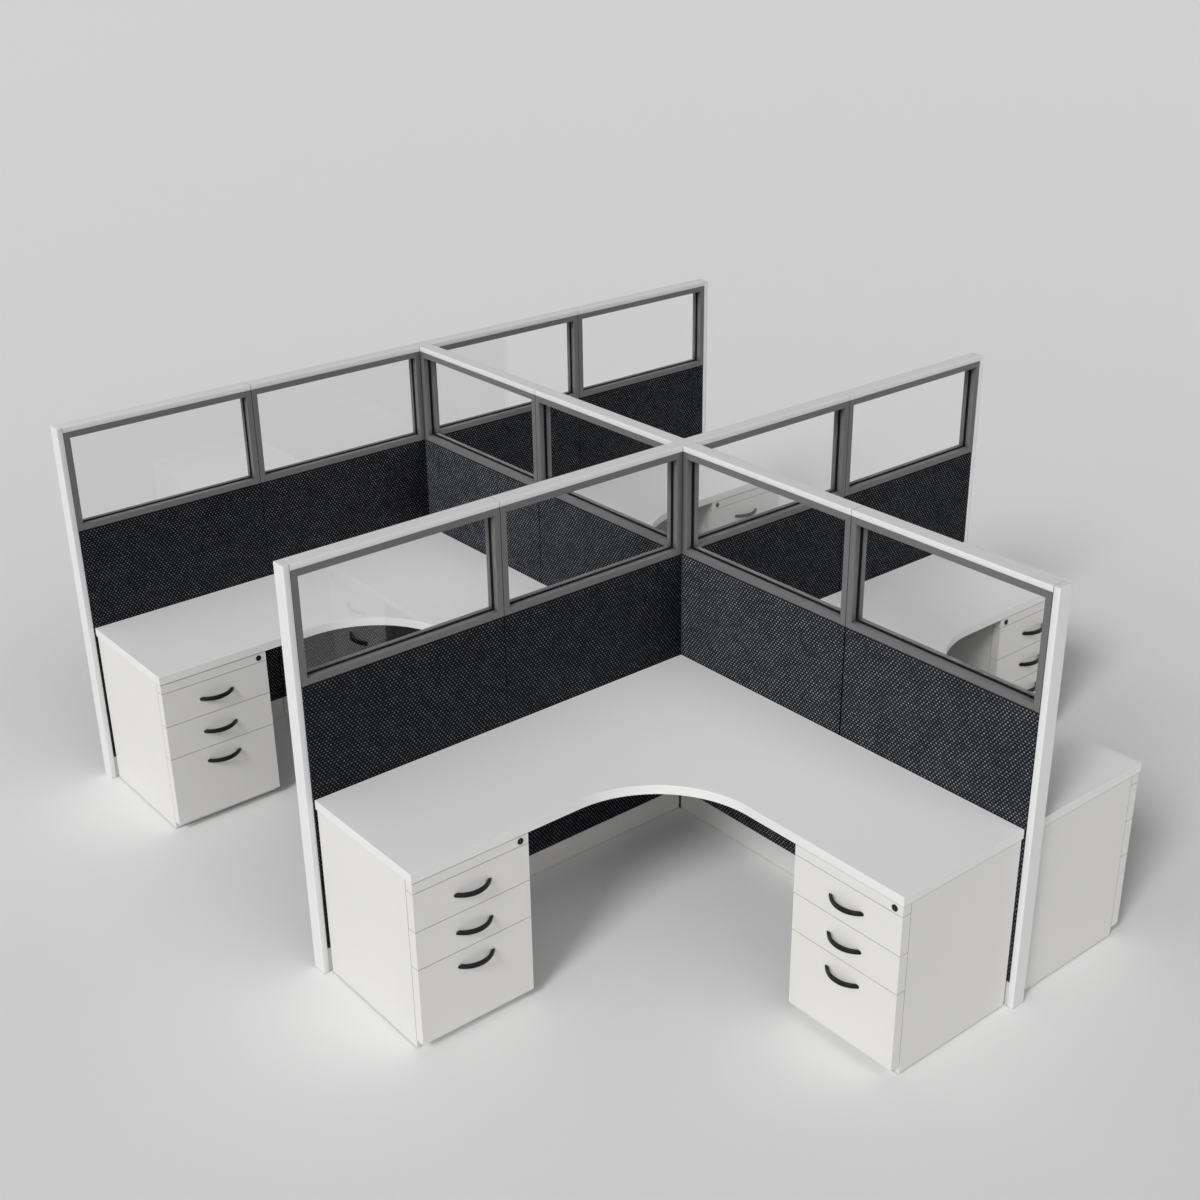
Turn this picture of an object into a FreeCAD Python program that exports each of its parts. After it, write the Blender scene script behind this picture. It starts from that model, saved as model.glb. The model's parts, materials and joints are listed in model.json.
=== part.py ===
import FreeCAD
import Part
import os
from math import sqrt

Vector = FreeCAD.Vector

# Four L-shaped desk bays round a spine screen and two cross screens.
# +X runs along the spine towards its free end, +Y across it, +Z up.
# The origin is on the floor at the middle of the whole footprint.
# All lengths are millimetres.

# Screens: layout
module_pitch = 900.0
modules_per_run = 2
screen_thickness = 63.0
screen_height = 1620.0
end_post_width = 25.0
joint_gap = 2.4
frame_gap = 0.8

# Screens: top cap, posts, glazing and sill
cap_height = 23.0
cap_wall = 3.0
cap_rounding = 3.0
band_width = 9.0
band_depth = 2.0
post_wall = 3.0
sill_height = 1172.0
window_face = 25.0
window_wall = 2.0
groove_depth = 10.0
gasket_thickness = 15.0
gasket_lip = 3.0
glass_thickness = 6.0
glass_bite = 7.0

# Screens: fabric tiles, inner frame and skirting
tile_bottom = 102.0
tile_thickness = 15.0
tile_gap = 4.5
tile_rounding = 3.0
upright_width = 30.0
frame_wall = 1.5
frame_rail_height = 40.0
frame_bottom = 30.0
tile_seat = 20.0
skirting_top_gap = 2.0
skirting_floor_gap = 2.0
skirting_recess = 5.0
skirting_sheet = 1.5
foot_pad_radius = 15.0
foot_pad_height = 8.0
foot_stem_radius = 5.0
foot_stem_rise = 25.0
foot_plate_thickness = 5.0

# Desktop
desk_top_height = 730.0
desk_thickness = 36.0
desk_depth = 600.0
desk_back_gap = 2.0
desk_end_inset = 31.0
desk_corner_radius = 410.0
desk_edge_rounding = 2.0

# Desk brackets
bracket_reach = 420.0
bracket_web = 2.4
bracket_root_height = 70.0
bracket_tip_height = 20.0
bracket_flange_width = 40.0
bracket_flange_thickness = 3.0
corner_bracket_gap = 0.4

# Pedestal carcass
pedestal_width = 471.0
pedestal_end_inset = 3.0
pedestal_back_gap = 7.0
carcass_front = 556.0
front_face = 597.0
glide_height = 5.0
glide_radius = 14.0
glide_inset = 28.0
carcass_shadow_gap = 4.0
sheet = 1.2
side_fold = 16.0
top_plate_inset = 8.0
plinth_height = 40.0
front_gap = 2.0
rail_height = 40.0
rail_tab_inset = 2.5
rail_tab_height = 30.0
rail_tab_width = 12.0
rail_tab_length = 20.0
runner_upright_width = 25.0
runner_upright_inset = 55.0

# Drawers: heights of the fronts and the gaps between them
front_line_gap = 2.0
small_front_height = 149.0
deep_front_bottom = 38.0
drawer_names = ["top", "middle", "bottom"]

# Drawers: box
drawer_back_clearance = 16.0
small_box_height = 96.0
deep_box_height = 236.0
box_drop = 20.0
box_side_clearance = 11.0

# Drawer runners
runner_length = 500.0
runner_height = 36.0
runner_depth = 10.0
runner_sheet = 1.2
runner_play = 0.3
runner_bar_thickness = 3.0
runner_front_setback = 4.0
small_runner_rise = 20.0

# Drawer handle: a crescent in plan, highest at its middle
handle_span = 155.0
handle_projection = 34.5
handle_thickness = 8.5
handle_foot = 16.5
handle_height = 19.0
handle_end_height = 12.0
handle_rounding = 2.5
deep_handle_drop = 62.0
handle_screw_spacing = 136.0
handle_screw_radius = 1.6
handle_screw_bite = 3.0
handle_screw_head_radius = 3.2
handle_screw_head_height = 2.0

# Pedestal lock
lock_edge_distance = 34.0
lock_flange_radius = 12.0
lock_flange_thickness = 2.0
lock_barrel_radius = 10.0
lock_barrel_length = 22.0
lock_plug_radius = 8.0
lock_plug_proud = 0.6
lock_cam_length = 17.0
lock_cam_width = 12.0
lock_cam_thickness = 2.0
key_slot_width = 1.6
key_slot_length = 9.0
key_slot_depth = 6.0

# Wood screws under the desktop
screw_radius = 2.0
screw_bite = 18.0
screw_head_radius = 4.5
screw_head_height = 2.5
pedestal_screw_inset = 60.0
bracket_screw_inset = 70.0
bracket_screw_share = 0.25

# Clearances of round pieces in their holes, one overrun for all cuts, and how near is the same place
hole_clearance = 0.05
overrun = 1.0
same_place = 0.01

# Worked out from the sizes above
screen_half = screen_thickness / 2
run_length = modules_per_run * module_pitch - screen_half
middle_x = screen_half
rear_x = middle_x - modules_per_run * module_pitch
cap_base = screen_height - cap_height
frame_half = screen_half - tile_thickness
half_joint = joint_gap / 2
half_frame_gap = frame_gap / 2
half_tile_gap = tile_gap / 2
desk_underside = desk_top_height - desk_thickness
bay_length = run_length - screen_half
desk_length = bay_length - desk_end_inset
bracket_place = module_pitch - screen_half

carcass_top = desk_underside - carcass_shadow_gap
half_width = pedestal_width / 2
pedestal_place = desk_length - pedestal_end_inset - half_width
front_back = carcass_front + front_gap
rail_bottom = carcass_top - rail_height + front_line_gap / 2
lock_height = (rail_bottom + carcass_top) / 2
lock_side = half_width - lock_edge_distance
runner_side = half_width - side_fold
box_half_width = half_width - side_fold - box_side_clearance
box_back = pedestal_back_gap + drawer_back_clearance + sheet


# Basic shapes

def block(low, high):
    size = Vector(*high) - Vector(*low)
    return Part.makeBox(size.x, size.y, size.z, Vector(*low))


def tube(low, high, wall, axis):
    # rectangular tube, open at both ends along one axis
    inner_low = [value + wall for value in low]
    inner_high = [value - wall for value in high]
    inner_low[axis] = low[axis] - overrun
    inner_high[axis] = high[axis] + overrun
    return block(low, high).cut(block(inner_low, inner_high))


def prism(points, direction):
    outline = Part.makePolygon(points + [points[0]])
    return Part.Face(outline).extrude(direction)


def fillet_where(shape, radius, keep):
    # rounds the edges whose two ends both pass the test
    edges = [edge for edge in shape.Edges if all(keep(vertex.Point) for vertex in edge.Vertexes)]
    return shape.makeFillet(radius, edges)


def near(first, second):
    return abs(first - second) < same_place


def turned(shape, angle, x, y):
    copy = shape.copy()
    copy.rotate(Vector(0, 0, 0), Vector(0, 0, 1), angle)
    copy.translate(Vector(x, y, 0))
    return copy


def fused(solids):
    return solids[0].fuse(solids[1:]).removeSplitter()


# Screens, drawn along +X from the crossing's centre line

def module_spans(has_post):
    last = run_length - (end_post_width if has_post else 0)
    edges = [screen_half] + [module_pitch * step for step in range(1, modules_per_run)] + [last]
    return list(zip(edges[:-1], edges[1:]))


def window_opening(start, end, margin):
    reach = half_joint + window_face - margin
    low = (start + reach, sill_height + window_face - margin)
    high = (end - reach, cap_base - window_face + margin)
    return low, high


def window_slab(start, end, margin, thickness):
    low, high = window_opening(start, end, margin)
    return block((low[0], -thickness / 2, low[1]), (high[0], thickness / 2, high[1]))


def window_member(low, high, axis, pocket):
    # extruded bar with a chamber on each side of the glazing groove
    bar = block(low, high).cut(pocket)
    across = screen_half - window_wall
    groove_side = gasket_thickness / 2 + window_wall
    for near_side, far_side in ((-across, -groove_side), (groove_side, across)):
        chamber_low = [low[0] + window_wall, near_side, low[2] + window_wall]
        chamber_high = [high[0] - window_wall, far_side, high[2] - window_wall]
        chamber_low[axis] = low[axis] - overrun
        chamber_high[axis] = high[axis] + overrun
        bar = bar.cut(block(chamber_low, chamber_high))
    return bar


def window_stiles(start, end):
    pocket = window_slab(start, end, groove_depth, gasket_thickness)
    solids = []
    for low_x in (start + half_joint, end - half_joint - window_face):
        low = (low_x, -screen_half, sill_height)
        high = (low_x + window_face, screen_half, cap_base)
        solids.append(window_member(low, high, 2, pocket))
    return solids


def window_rails(start, end):
    pocket = window_slab(start, end, groove_depth, gasket_thickness)
    low_x = start + half_joint + window_face
    high_x = end - half_joint - window_face
    solids = []
    for low_z in (sill_height, cap_base - window_face):
        low = (low_x, -screen_half, low_z)
        high = (high_x, screen_half, low_z + window_face)
        solids.append(window_member(low, high, 0, pocket))
    return solids


def glass_pane(start, end):
    return [window_slab(start, end, glass_bite, glass_thickness)]


def glazing_gasket(start, end):
    # one ring that grips the pane's rim on both faces
    ring = window_slab(start, end, groove_depth, gasket_thickness)
    ring = ring.cut(window_slab(start, end, -gasket_lip, gasket_thickness + overrun))
    return [ring.cut(window_slab(start, end, glass_bite, glass_thickness))]


def fabric_tiles(start, end):
    solids = []
    for side in (-1, 1):
        low_y, high_y = sorted((side * frame_half, side * screen_half))
        low = (start + half_tile_gap, low_y, tile_bottom)
        high = (end - half_tile_gap, high_y, sill_height - joint_gap)
        on_face = lambda point: near(abs(point.y), screen_half)
        solids.append(fillet_where(block(low, high), tile_rounding, on_face))
    return solids


def panel_frame(start, end):
    low_x = start + half_frame_gap
    high_x = end - half_frame_gap
    solids = []
    for x in (low_x, high_x - upright_width):
        low = (x, -frame_half, frame_bottom)
        high = (x + upright_width, frame_half, sill_height)
        solids.append(tube(low, high, frame_wall, 2))
    desk_middle = desk_underside + desk_thickness / 2
    rail_tops = (tile_bottom + tile_seat, desk_middle, sill_height)
    for top in rail_tops:
        low = (low_x + upright_width, -frame_half, top - frame_rail_height)
        high = (high_x - upright_width, frame_half, top)
        solids.append(tube(low, high, frame_wall, 0))
    return solids


def skirtings(start, end):
    # folded channel whose two flanges reach back to the inner frame
    length = end - start - joint_gap
    face = screen_half - skirting_recess
    top = tile_bottom - skirting_top_gap
    solids = []
    for side in (-1, 1):
        profile = [
            (frame_half, skirting_floor_gap),
            (face, skirting_floor_gap),
            (face, top),
            (frame_half, top),
            (frame_half, top - skirting_sheet),
            (face - skirting_sheet, top - skirting_sheet),
            (face - skirting_sheet, skirting_floor_gap + skirting_sheet),
            (frame_half, skirting_floor_gap + skirting_sheet),
        ]
        points = [Vector(start + half_joint, side * y, z) for y, z in profile]
        solids.append(prism(points, Vector(length, 0, 0)))
    return solids


def levelling_feet(start, end):
    # pad with a threaded stem, and the plate it screws into under the upright
    solids = []
    plate_bottom = frame_bottom - foot_plate_thickness
    for low_x in (start + half_frame_gap, end - half_frame_gap - upright_width):
        centre = Vector(low_x + upright_width / 2, 0, 0)
        pad = Part.makeCylinder(foot_pad_radius, foot_pad_height, centre)
        stem = Part.makeCylinder(foot_stem_radius, frame_bottom + foot_stem_rise, centre)
        hole = Part.makeCylinder(foot_stem_radius + hole_clearance, frame_bottom + overrun, centre)
        plate = block((low_x, -frame_half, plate_bottom), (low_x + upright_width, frame_half, frame_bottom))
        solids.append(fused([pad, stem]))
        solids.append(plate.cut(hole))
    return solids


def cap_piece(low_x, high_x):
    outer = block((low_x, -screen_half, cap_base), (high_x, screen_half, screen_height))
    outer = outer.makeFillet(cap_rounding, long_top_edges(outer))
    inner_half = screen_half - cap_wall
    inner_low = (low_x - overrun, -inner_half, cap_base - overrun)
    inner_high = (high_x + overrun, inner_half, screen_height - cap_wall)
    cap = outer.cut(block(inner_low, inner_high))
    for side in (-1, 1):
        points = [Vector(low_x - overrun, side * across, cap_base + up) for up, across in band_corners()]
        cap = cap.cut(prism(points, Vector(high_x - low_x + 2 * overrun, 0, 0)))
    return cap


def band_corners():
    # cross-section of what is cut off a screen's white trim beside the window, so that it slopes in there
    outside = screen_half + overrun
    inside = screen_half - band_depth
    return [(band_width, screen_half), (0, inside), (-overrun, inside), (-overrun, outside), (band_width, outside)]


def long_top_edges(box):
    # the two top edges that run along X
    found = []
    for edge in box.Edges:
        first, second = (vertex.Point for vertex in edge.Vertexes)
        if near(first.z, screen_height) and near(second.z, screen_height) and near(first.y, second.y):
            found.append(edge)
    return found


def top_caps(start, end):
    return [cap_piece(start + half_joint, end - half_joint)]


def end_post():
    # full height post with a closed top at the free end of a run
    low_x = run_length - end_post_width
    post = block((low_x, -screen_half, 0), (run_length, screen_half, screen_height))
    post = post.makeFillet(cap_rounding, long_top_edges(post) + free_end_edges(post))
    inner_low = (low_x + post_wall, -screen_half + post_wall, -overrun)
    inner_high = (run_length - post_wall, screen_half - post_wall, screen_height - cap_wall)
    post = post.cut(block(inner_low, inner_high))
    for side in (-1, 1):
        points = [Vector(low_x + along, side * across, -overrun) for along, across in band_corners()]
        post = post.cut(prism(points, Vector(0, 0, screen_height + 2 * overrun)))
    return post


def free_end_edges(post):
    # the upright edges at the free end and the top edge between them
    found = []
    for edge in post.Edges:
        points = [vertex.Point for vertex in edge.Vertexes]
        at_end = all(near(point.x, run_length) for point in points)
        if at_end and any(near(point.z, screen_height) for point in points):
            found.append(edge)
    return found


def junction_post():
    low = (-screen_half, -screen_half, 0)
    high = (screen_half, screen_half, cap_base)
    return tube(low, high, post_wall, 2)


def junction_cap():
    outer = block((-screen_half, -screen_half, cap_base), (screen_half, screen_half, screen_height))
    inner_half = screen_half - cap_wall
    inner_low = (-inner_half, -inner_half, cap_base - overrun)
    inner_high = (inner_half, inner_half, screen_height - cap_wall)
    return outer.cut(block(inner_low, inner_high))


def screens():
    # each run: node prefix of its tiles, turn, crossing it starts from, and whether it ends in a post
    runs = [
        ("spine", 0, middle_x, True),
        ("spine", 0, rear_x, False),
        ("middle", -90, middle_x, True),
        ("middle", 90, middle_x, True),
        ("rear", -90, rear_x, True),
        ("rear", 90, rear_x, True),
    ]
    makers = {
        "window_stiles": window_stiles,
        "window_rails": window_rails,
        "glass_panes": glass_pane,
        "glazing_gaskets": glazing_gasket,
        "panel_frames": panel_frame,
        "skirtings": skirtings,
        "levelling_feet": levelling_feet,
        "top_caps": top_caps,
    }
    nodes = {name: [] for name in makers}
    nodes["end_posts"] = []
    for screen, angle, x, has_post in runs:
        tiles = nodes.setdefault(screen + "_fabric_tiles", [])
        for start, end in module_spans(has_post):
            for name, maker in makers.items():
                nodes[name] += [turned(solid, angle, x, 0) for solid in maker(start, end)]
            tiles += [turned(solid, angle, x, 0) for solid in fabric_tiles(start, end)]
        if has_post:
            nodes["end_posts"].append(turned(end_post(), angle, x, 0))
    nodes["junction_posts"] = [turned(junction_post(), 0, x, 0) for x in (rear_x, middle_x)]
    nodes["top_caps"] += [turned(junction_cap(), 0, x, 0) for x in (rear_x, middle_x)]
    return nodes


# Bay furniture, drawn with the screens' inner corner at the origin and the wings along +X and -Y

def desktop_outline():
    # clockwise from the back corner, with a concave arc between the wings
    gap = desk_back_gap
    depth = desk_depth
    length = desk_length
    bend = depth + desk_corner_radius
    corner_reach = bend - desk_corner_radius / sqrt(2)
    points = [
        Vector(gap, -gap, 0),
        Vector(length, -gap, 0),
        Vector(length, -depth, 0),
        Vector(bend, -depth, 0),
        Vector(depth, -bend, 0),
        Vector(depth, -length, 0),
        Vector(gap, -length, 0),
    ]
    edges = []
    for index, point in enumerate(points):
        following = points[(index + 1) % len(points)]
        if near(point.x, bend) and near(following.y, -bend):
            middle = Vector(corner_reach, -corner_reach, 0)
            edges.append(Part.Arc(point, middle, following).toShape())
        else:
            edges.append(Part.LineSegment(point, following).toShape())
    return Part.Wire(edges)


def desktop(screw_holes):
    board = Part.Face(desktop_outline()).extrude(Vector(0, 0, desk_thickness))
    board.translate(Vector(0, 0, desk_underside))
    board = fillet_where(board, desk_edge_rounding, lambda point: near(point.z, desk_top_height))
    return board.cut(Part.makeCompound(screw_holes))


def wood_screw(x, y, seat):
    # head under its seat, shank up into the desktop
    head = Part.makeCylinder(screw_head_radius, screw_head_height, Vector(x, y, seat - screw_head_height))
    shank = Part.makeCylinder(screw_radius, desk_underside + screw_bite - seat, Vector(x, y, seat))
    return fused([head, shank])


def screw_hole(x, y):
    depth = screw_bite + overrun + carcass_shadow_gap + bracket_flange_thickness
    low = desk_underside + screw_bite + overrun - depth
    return Part.makeCylinder(screw_radius + hole_clearance, depth, Vector(x, y, low))


def bracket(root, flange_root):
    # tapered web under a flat flange, along +X, its root hooked between two tiles
    tip = root + bracket_reach
    web_top = desk_underside - bracket_flange_thickness
    half_web = bracket_web / 2
    points = [
        Vector(root, -half_web, web_top),
        Vector(tip, -half_web, web_top),
        Vector(tip, -half_web, web_top - bracket_tip_height),
        Vector(root, -half_web, web_top - bracket_root_height),
    ]
    web = prism(points, Vector(0, bracket_web, 0))
    half_flange = bracket_flange_width / 2
    flange = block((flange_root, -half_flange, web_top), (tip, half_flange, desk_underside))
    return fused([web, flange])


def bracket_places():
    # turn and place of the three brackets in a bay, and where their web and flange start
    corner_flange = bracket_flange_width / 2 + desk_back_gap * sqrt(2)
    return [
        ((0, 0, -bracket_place), -tile_thickness, desk_back_gap),
        ((-90, bracket_place, 0), -tile_thickness, desk_back_gap),
        ((-45, 0, 0), corner_bracket_gap, corner_flange),
    ]


def placed_points(points, angle, x, y):
    turn = FreeCAD.Rotation(Vector(0, 0, 1), angle)
    spots = [turn.multVec(Vector(along, across, 0)) + Vector(x, y, 0) for along, across in points]
    return [(spot.x, spot.y) for spot in spots]


def bracket_screw_points():
    across = bracket_flange_width * bracket_screw_share
    return [(bracket_screw_inset, across), (bracket_reach - bracket_screw_inset, across)]


def desk_brackets():
    solids = []
    spots = []
    points = bracket_screw_points()
    holes = Part.makeCompound([screw_hole(*point) for point in points])
    for place, root, flange_root in bracket_places():
        solids += turned(bracket(root, flange_root).cut(holes), *place).Solids
        spots += placed_points(points, *place)
    return solids, spots


# Pedestal, drawn with the screen's face at x = 0, its front towards +X and its middle at y = 0

def pan(back, front, half, bottom, top):
    # folded sheet front, open at the back
    outer = block((back, -half, bottom), (front, half, top))
    inner_half = half - sheet
    inner = block((back - overrun, -inner_half, bottom + sheet), (front - sheet, inner_half, top - sheet))
    return outer.cut(inner)


def carcass_sides():
    solids = []
    for side in (-1, 1):
        outer = sorted((side * half_width, side * (half_width - side_fold)))
        inner = sorted((side * (half_width - sheet), side * (half_width - side_fold - overrun)))
        shell = block((pedestal_back_gap, outer[0], glide_height), (carcass_front, outer[1], carcass_top))
        low = (pedestal_back_gap + sheet, inner[0], glide_height + sheet)
        high = (carcass_front - sheet, inner[1], carcass_top - sheet)
        solids.append(shell.cut(block(low, high)))
    return solids


def carcass_back():
    half = half_width - side_fold
    low = (pedestal_back_gap, -half, glide_height)
    return block(low, (pedestal_back_gap + sheet, half, carcass_top))


def carcass_base():
    # floor sheet with an upstand that shows as a plinth under the deep drawer
    half = half_width - side_fold
    rear = pedestal_back_gap + sheet
    plinth_top = glide_height + plinth_height
    floor = block((rear, -half, glide_height), (carcass_front, half, glide_height + sheet))
    upstand = block((carcass_front - sheet, -half, glide_height), (carcass_front, half, plinth_top))
    return fused([floor, upstand])


def pedestal_screw_points():
    spots = []
    for x in (pedestal_back_gap + pedestal_screw_inset, carcass_front - pedestal_screw_inset):
        for y in (-half_width + pedestal_screw_inset, half_width - pedestal_screw_inset):
            spots.append((x, y))
    return spots


def carcass_top_plate():
    half = half_width - top_plate_inset
    low = (pedestal_back_gap + top_plate_inset, -half, carcass_top)
    plate = block(low, (carcass_front - sheet, half, desk_underside))
    return plate.cut(Part.makeCompound([screw_hole(*point) for point in pedestal_screw_points()]))


def lock_cylinder(radius, back, front):
    return Part.makeCylinder(radius, front - back, Vector(back, lock_side, lock_height), Vector(1, 0, 0))


def top_rail():
    shell = pan(front_back, front_face, half_width, rail_bottom, carcass_top)
    return shell.cut(lock_cylinder(lock_barrel_radius + hole_clearance, front_back, front_face + overrun))


def rail_tabs():
    # stepped tabs that hold the rail off the carcass's front folds
    high_z = carcass_top - rail_tab_inset
    low_z = high_z - rail_tab_height
    inner = half_width - sheet - rail_tab_width
    solids = []
    for side in (-1, 1):
        steps = []
        for back, front, outer in (
            (carcass_front, front_back, half_width - rail_tab_inset),
            (front_back, front_back + rail_tab_length, half_width - sheet),
        ):
            low_y, high_y = sorted((side * inner, side * outer))
            steps.append(block((back, low_y, low_z), (front, high_y, high_z)))
        solids.append(fused(steps))
    return solids


def runner_uprights():
    # box uprights between the side skins and the runners they carry
    solids = []
    rear = pedestal_back_gap + runner_upright_inset
    front = carcass_front - runner_upright_inset - runner_upright_width
    for low_x in (rear, front):
        for side in (-1, 1):
            low_y, high_y = sorted((side * runner_side, side * (half_width - sheet)))
            low = (low_x, low_y, glide_height + sheet)
            high = (low_x + runner_upright_width, high_y, carcass_top - sheet)
            solids.append(tube(low, high, sheet, 2))
    return solids


def lock_housing():
    flange = lock_cylinder(lock_flange_radius, front_face, front_face + lock_flange_thickness)
    barrel = lock_cylinder(lock_barrel_radius, front_face - lock_barrel_length, front_face)
    bore_front = front_face + lock_flange_thickness + overrun
    bore = lock_cylinder(lock_plug_radius + hole_clearance, front_back, bore_front)
    return fused([flange, barrel]).cut(bore)


def cabinet_runners(low_z):
    # channels with their web on the uprights, open towards the drawer
    front = carcass_front - runner_front_setback
    high_z = low_z + runner_height
    solids = []
    for side in (-1, 1):
        web = side * runner_side
        lip = web - side * runner_depth
        inner_web = web - side * runner_sheet
        profile = [
            (web, low_z),
            (lip, low_z),
            (lip, low_z + runner_sheet),
            (inner_web, low_z + runner_sheet),
            (inner_web, high_z - runner_sheet),
            (lip, high_z - runner_sheet),
            (lip, high_z),
            (web, high_z),
        ]
        points = [Vector(front - runner_length, y, z) for y, z in profile]
        solids.append(prism(points, Vector(runner_length, 0, 0)))
    return solids


def drawer_runners(low_z):
    # flat bars on the drawer's sides, which run inside the channels
    front = carcass_front - runner_front_setback
    low = low_z + runner_sheet + runner_play
    high = low_z + runner_height - runner_sheet - runner_play
    solids = []
    for side in (-1, 1):
        low_y, high_y = sorted((side * box_half_width, side * (box_half_width + runner_bar_thickness)))
        solids.append(block((front - runner_length, low_y, low), (front, high_y, high)))
    return solids


def front_spans():
    # bottom and top of each drawer front, from the top drawer down
    first_top = rail_bottom - front_line_gap
    second_top = first_top - small_front_height - front_line_gap
    third_top = second_top - small_front_height - front_line_gap
    return [
        (first_top - small_front_height, first_top),
        (second_top - small_front_height, second_top),
        (deep_front_bottom, third_top),
    ]


def box_heights():
    return [small_box_height, small_box_height, deep_box_height]


def runner_levels():
    levels = []
    for (bottom, top), height in zip(front_spans(), box_heights()):
        levels.append(top - box_drop - height + small_runner_rise)
    return levels


def handle_heights():
    spans = front_spans()
    levels = [(bottom + top) / 2 for bottom, top in spans[:-1]]
    return levels + [spans[-1][1] - deep_handle_drop]


def handle_plan(height):
    # crescent between an outer and an inner arc that both start on the front's face
    low_z = height - handle_height / 2 - overrun
    half_span = handle_span / 2
    inner_half = half_span - handle_foot
    ends = [Vector(front_face, y, low_z) for y in (-half_span, half_span, inner_half, -inner_half)]
    outer_peak = Vector(front_face + handle_projection, 0, low_z)
    inner_peak = Vector(front_face + handle_projection - handle_thickness, 0, low_z)
    edges = [
        Part.Arc(ends[0], outer_peak, ends[1]).toShape(),
        Part.LineSegment(ends[1], ends[2]).toShape(),
        Part.Arc(ends[2], inner_peak, ends[3]).toShape(),
        Part.LineSegment(ends[3], ends[0]).toShape(),
    ]
    return Part.Face(Part.Wire(edges)).extrude(Vector(0, 0, handle_height + 2 * overrun))


def handle_front_view(height):
    # outline seen from the front: its top and bottom bow out towards the middle
    half_span = handle_span / 2
    half_end = handle_end_height / 2
    half_middle = handle_height / 2
    back = front_face - overrun
    corners = [
        Vector(back, -half_span, height - half_end),
        Vector(back, half_span, height - half_end),
        Vector(back, half_span, height + half_end),
        Vector(back, -half_span, height + half_end),
    ]
    edges = [
        Part.Arc(corners[0], Vector(back, 0, height - half_middle), corners[1]).toShape(),
        Part.LineSegment(corners[1], corners[2]).toShape(),
        Part.Arc(corners[2], Vector(back, 0, height + half_middle), corners[3]).toShape(),
        Part.LineSegment(corners[3], corners[0]).toShape(),
    ]
    depth = handle_projection + 2 * overrun
    return Part.Face(Part.Wire(edges)).extrude(Vector(depth, 0, 0))


def handle(height):
    strip = handle_plan(height).common(handle_front_view(height)).Solids[0]
    long_edges = [edge for edge in strip.Edges if edge.Length > handle_span]
    strip = strip.makeFillet(handle_rounding, long_edges)
    return strip.cut(handle_screw_holes(height))


def front_cylinder(radius, y, z, back, front):
    return Part.makeCylinder(radius, front - back, Vector(back, y, z), Vector(1, 0, 0))


def handle_screw_holes(height):
    # through the front's sheet and into the handle's ends
    back = front_face - sheet - overrun
    front = front_face + handle_screw_bite + hole_clearance
    radius = handle_screw_radius + hole_clearance
    sides = (-handle_screw_spacing / 2, handle_screw_spacing / 2)
    return Part.makeCompound([front_cylinder(radius, y, height, back, front) for y in sides])


def handle_screws(height):
    seat = front_face - sheet
    solids = []
    for y in (-handle_screw_spacing / 2, handle_screw_spacing / 2):
        head = front_cylinder(handle_screw_head_radius, y, height, seat - handle_screw_head_height, seat)
        shank = front_cylinder(handle_screw_radius, y, height, seat, front_face + handle_screw_bite)
        solids.append(fused([head, shank]))
    return solids


def drawer_front(bottom, top, handle_level):
    shell = pan(front_back, front_face, half_width, bottom, top).cut(handle_screw_holes(handle_level))
    half = half_width - sheet
    cover = block((front_back, -half, bottom + sheet), (front_back + sheet, half, top - sheet))
    return [shell, cover]


def drawer_box(low_z, high_z):
    # two sides, a back and a bottom
    half = box_half_width - sheet
    solids = []
    for side in (-1, 1):
        low_y, high_y = sorted((side * box_half_width, side * half))
        solids.append(block((box_back, low_y, low_z), (front_back, high_y, high_z)))
    solids.append(block((box_back, -half, low_z), (box_back + sheet, half, high_z)))
    solids.append(block((box_back + sheet, -half, low_z), (front_back, half, low_z + sheet)))
    return solids


def drawer(index):
    bottom, top = front_spans()[index]
    level = handle_heights()[index]
    box_top = top - box_drop
    solids = drawer_front(bottom, top, level)
    solids += drawer_box(box_top - box_heights()[index], box_top)
    solids += drawer_runners(runner_levels()[index])
    solids.append(handle(level))
    solids += handle_screws(level)
    return solids


def lock():
    # plug with a key slot, and the cam on its inner end
    back = front_face - lock_barrel_length
    front = front_face + lock_flange_thickness + lock_plug_proud
    plug = lock_cylinder(lock_plug_radius, back, front)
    half_slot = key_slot_width / 2
    half_length = key_slot_length / 2
    low = (front - key_slot_depth, lock_side - half_slot, lock_height - half_length)
    high = (front + overrun, lock_side + half_slot, lock_height + half_length)
    plug = plug.cut(block(low, high))
    half_cam = lock_cam_width / 2
    arm = block(
        (back - lock_cam_thickness, lock_side - lock_cam_length + half_cam, lock_height - half_cam),
        (back, lock_side, lock_height + half_cam),
    )
    hub = lock_cylinder(half_cam, back - lock_cam_thickness, back)
    tip = hub.copy()
    tip.translate(Vector(0, half_cam - lock_cam_length, 0))
    return [plug, fused([arm, hub, tip])]


def pedestal():
    solids = carcass_sides()
    solids += [carcass_back(), carcass_base(), carcass_top_plate(), top_rail()]
    solids += rail_tabs() + runner_uprights()
    solids.append(lock_housing())
    for level in runner_levels():
        solids += cabinet_runners(level)
    return solids


def glides():
    solids = []
    for x in (pedestal_back_gap + glide_inset, carcass_front - glide_inset):
        for y in (-half_width + side_fold, half_width - side_fold):
            solids.append(Part.makeCylinder(glide_radius, glide_height, Vector(x, y, 0)))
    return solids


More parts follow.
